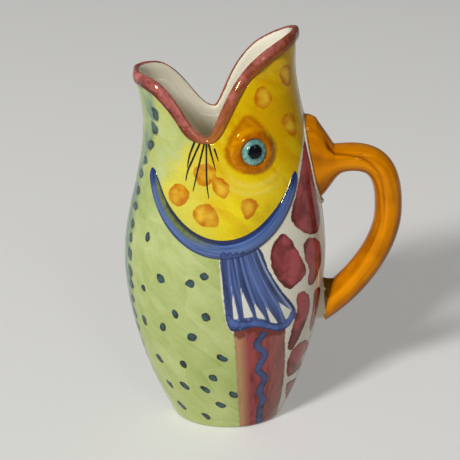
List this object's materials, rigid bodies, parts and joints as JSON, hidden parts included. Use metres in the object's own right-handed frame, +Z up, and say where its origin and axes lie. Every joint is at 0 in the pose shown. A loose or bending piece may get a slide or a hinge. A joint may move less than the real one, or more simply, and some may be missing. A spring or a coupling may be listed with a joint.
{
  "type": "fish pitcher",
  "caption": "Upright fish-shaped glazed earthenware pitcher: the open mouth is the spout, with a lip coil, raised eyes, crescent gill ridges and a looped handle on the back.",
  "frame": {"origin": "middle of the flat foot, on the surface that the pitcher stands on", "axes": "+Z up; +X from the belly towards the back and the handle; the fish's left side faces -Y, and y = 0 is the plane of symmetry"},
  "size_m": [0.1904, 0.1086, 0.28],
  "materials": {
    "body_glaze": "clear gloss glaze over brushed colour on a cream ground",
    "lip_glaze": "clear gloss glaze over brushed maroon",
    "handle_glaze": "clear gloss glaze over streaky brushed orange",
    "slip_glaze": "clear gloss glaze on bare cream slip",
    "gill_glaze": "clear gloss glaze over brushed blue",
    "socket_glaze": "clear gloss glaze over brushed orange",
    "eye_glaze": "clear gloss glaze over turquoise with a black pupil"
  },
  "bodies": {
    "root": {"body_shell": "body_glaze", "lip_coil": "lip_glaze", "handle": "handle_glaze", "upper_luting_slip": "slip_glaze", "lower_luting_slip": "slip_glaze", "left_gill_ridge": "gill_glaze", "right_gill_ridge": "gill_glaze", "left_eye_socket": "socket_glaze", "right_eye_socket": "socket_glaze", "left_eyeball": "eye_glaze", "right_eyeball": "eye_glaze"}
  },
  "joints": []
}
